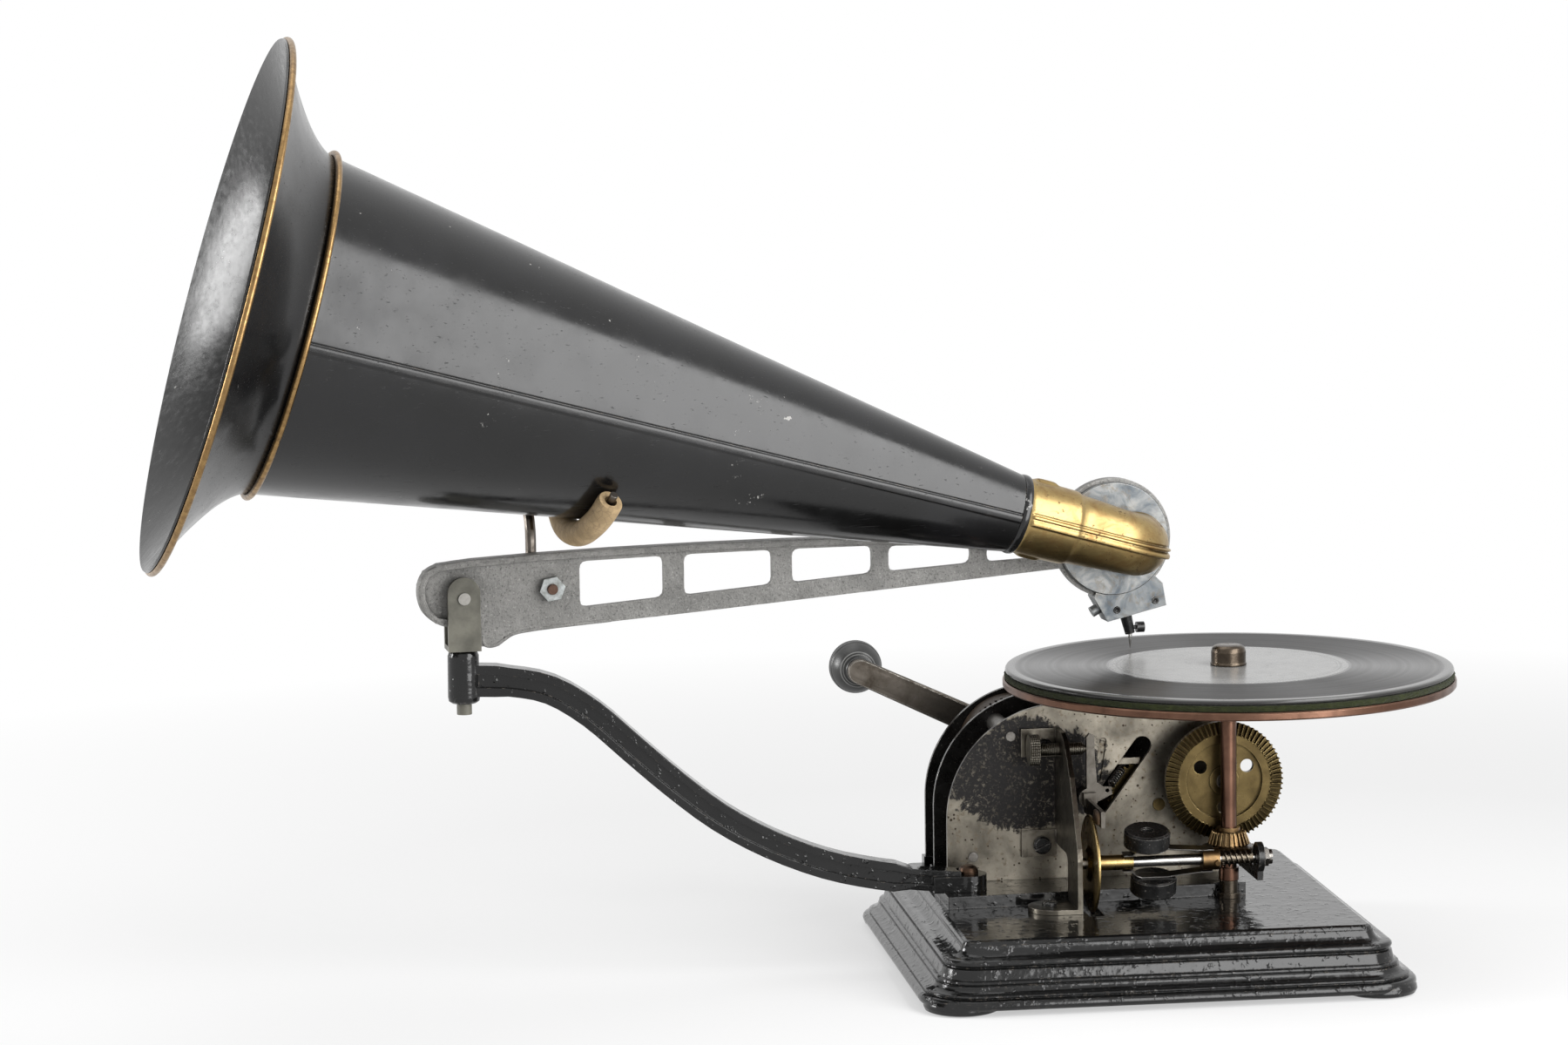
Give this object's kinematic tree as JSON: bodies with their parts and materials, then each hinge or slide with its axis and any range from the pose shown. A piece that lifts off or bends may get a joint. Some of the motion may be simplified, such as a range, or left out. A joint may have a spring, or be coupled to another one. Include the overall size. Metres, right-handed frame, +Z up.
{
  "type": "talking machine",
  "caption": "Disc talking machine with an open spring motor, friction governor, turntable and a front-mounted horn on a tilting arm.",
  "frame": {"origin": "centre of the base, on the surface that the feet stand on", "axes": "+X towards the turntable side, +Y from the front motor plate to the crank, +Z up"},
  "size_m": [0.5181, 0.2574, 0.3745],
  "materials": {
    "black_japan": "gloss",
    "nickel": "satin",
    "dark_steel": "satin",
    "steel": "satin",
    "brown_screw": "satin",
    "brass": "satin",
    "bronze": "satin",
    "copper": "satin",
    "felt": "matt",
    "brown_felt": "matt",
    "shellac": "gloss",
    "black_wood": "gloss",
    "raw_casting": "rough",
    "olive_steel": "satin",
    "tan_tube": "matt",
    "black_sheet": "satin",
    "mica": "satin",
    "spring_steel": "satin"
  },
  "bodies": {
    "frame": {"base_casting": "black_japan", "support_arm": "black_japan", "support_screw": "brown_screw", "front_plate": "nickel", "middle_plate": "dark_steel", "back_plate": "dark_steel", "plate_pillars": "nickel", "plate_screws": "dark_steel", "governor_bracket": "nickel", "bracket_screws": "dark_steel", "pivot_bracket": "nickel", "pivot_screw": "nickel", "foot_bearing": "nickel", "brake_stud": "dark_steel", "brake_spring": "spring_steel", "pawl_pin": "dark_steel"},
    "turntable_group": {"spindle": "copper", "turntable": "copper", "turntable_felt": "felt", "record": "shellac", "clamp_nut": "bronze", "bevel_pinion": "bronze", "worm_wheel": "bronze"},
    "bevel_group": {"bevel_shaft": "steel", "bevel_gear": "brass"},
    "second_lay": {"second_lay_gear": "brass"},
    "first_lay": {"first_lay_gear": "brass"},
    "barrel_group": {"spring_barrel": "brass", "mainspring": "spring_steel"},
    "governor_group": {"governor_shaft": "steel", "governor_worm": "steel", "friction_disc": "brass", "governor_weights": "dark_steel", "governor_springs": "spring_steel", "governor_collar": "brass"},
    "crank_group": {"winding_arbor": "steel", "ratchet_wheel": "steel", "crank_arm": "steel"},
    "knob": {"crank_knob": "black_wood"},
    "pawl_body": {"pawl": "steel"},
    "brake": {"brake_lever": "steel", "brake_pad": "brown_felt"},
    "speed_control": {"speed_screw": "nickel"},
    "swivel": {"swivel_bracket": "olive_steel", "tilt_pin": "olive_steel"},
    "arm": {"carrier_arm": "raw_casting", "cradle_bolt": "brown_screw", "cradle_rod": "olive_steel", "cradle_tube": "tan_tube", "horn_cone": "black_sheet", "horn_bell": "black_sheet", "horn_beads": "brass", "throat_ferrule": "black_sheet", "horn_elbow": "brass", "soundbox_case": "nickel", "lug_screws": "brown_screw", "diaphragm": "mica", "stylus_bar": "dark_steel", "needle": "steel"},
    "needle_clamp": {"needle_screw": "dark_steel"}
  },
  "joints": [
    {"name": "turntable_spin", "type": "hinge", "parent": "frame", "child": "turntable_group", "pos_m": [0.0374, -0.0157, 0.112], "axis": [0, 0, 1], "continuous": true},
    {"name": "bevel_spin", "type": "hinge", "parent": "frame", "child": "bevel_group", "pos_m": [0.0374, 0.01, 0.072], "axis": [0, 1, 0], "continuous": true},
    {"name": "second_lay_spin", "type": "hinge", "parent": "frame", "child": "second_lay", "pos_m": [0.01444, 0.01, 0.05979], "axis": [0, 1, 0], "continuous": true},
    {"name": "first_lay_spin", "type": "hinge", "parent": "frame", "child": "first_lay", "pos_m": [-0.01163, 0.044, 0.06392], "axis": [0, 1, 0], "continuous": true},
    {"name": "barrel_spin", "type": "hinge", "parent": "frame", "child": "barrel_group", "pos_m": [-0.03658, 0.056, 0.07663], "axis": [0, 1, 0], "continuous": true},
    {"name": "governor_spin", "type": "hinge", "parent": "frame", "child": "governor_group", "pos_m": [-0.0226, -0.029, 0.0446], "axis": [1, 0, 0], "continuous": true},
    {"name": "crank_turn", "type": "hinge", "parent": "frame", "child": "crank_group", "pos_m": [-0.03658, 0.098, 0.07663], "axis": [0, 1, 0], "continuous": true},
    {"name": "knob_spin", "type": "hinge", "parent": "crank_group", "child": "knob", "pos_m": [-0.09439, 0.113, 0.10409], "axis": [0, 1, 0], "continuous": true},
    {"name": "pawl_lift", "type": "hinge", "parent": "frame", "child": "pawl_body", "pos_m": [-0.02954, 0.07, 0.08988], "axis": [0, 1, 0], "range_deg": [0, 20]},
    {"name": "brake_swing", "type": "hinge", "parent": "frame", "child": "brake", "pos_m": [-0.0166, 0, 0.0654], "axis": [0, 1, 0], "range_deg": [0, 3], "stiffness_Nm_per_rad": 0.02, "springref_deg": -11.46},
    {"name": "speed_turn", "type": "hinge", "parent": "frame", "child": "speed_control", "pos_m": [-0.036, 0, 0.0857], "axis": [1, 0, 0], "continuous": true},
    {"name": "arm_swing", "type": "hinge", "parent": "frame", "child": "swivel", "pos_m": [-0.266, 0.0029, 0.133], "axis": [0, 0, 1], "range_deg": [-2, 12]},
    {"name": "arm_tilt", "type": "hinge", "parent": "swivel", "child": "arm", "pos_m": [-0.266, 0.0029, 0.1545], "axis": [0.0872, -0.9962, 0], "range_deg": [0, 25]},
    {"name": "needle_screw_turn", "type": "hinge", "parent": "arm", "child": "needle_clamp", "pos_m": [0.01133, 0.03419, 0.1291], "axis": [0.9962, 0.0872, 0], "continuous": true}
  ],
  "couplings": [
    {"joint": "bevel_spin", "follows": "turntable_spin", "ratio": 0.33333},
    {"joint": "second_lay_spin", "follows": "turntable_spin", "ratio": -0.12766},
    {"joint": "first_lay_spin", "follows": "turntable_spin", "ratio": 0.040851},
    {"joint": "barrel_spin", "follows": "turntable_spin", "ratio": -0.0084519},
    {"joint": "governor_spin", "follows": "turntable_spin", "ratio": -10}
  ]
}
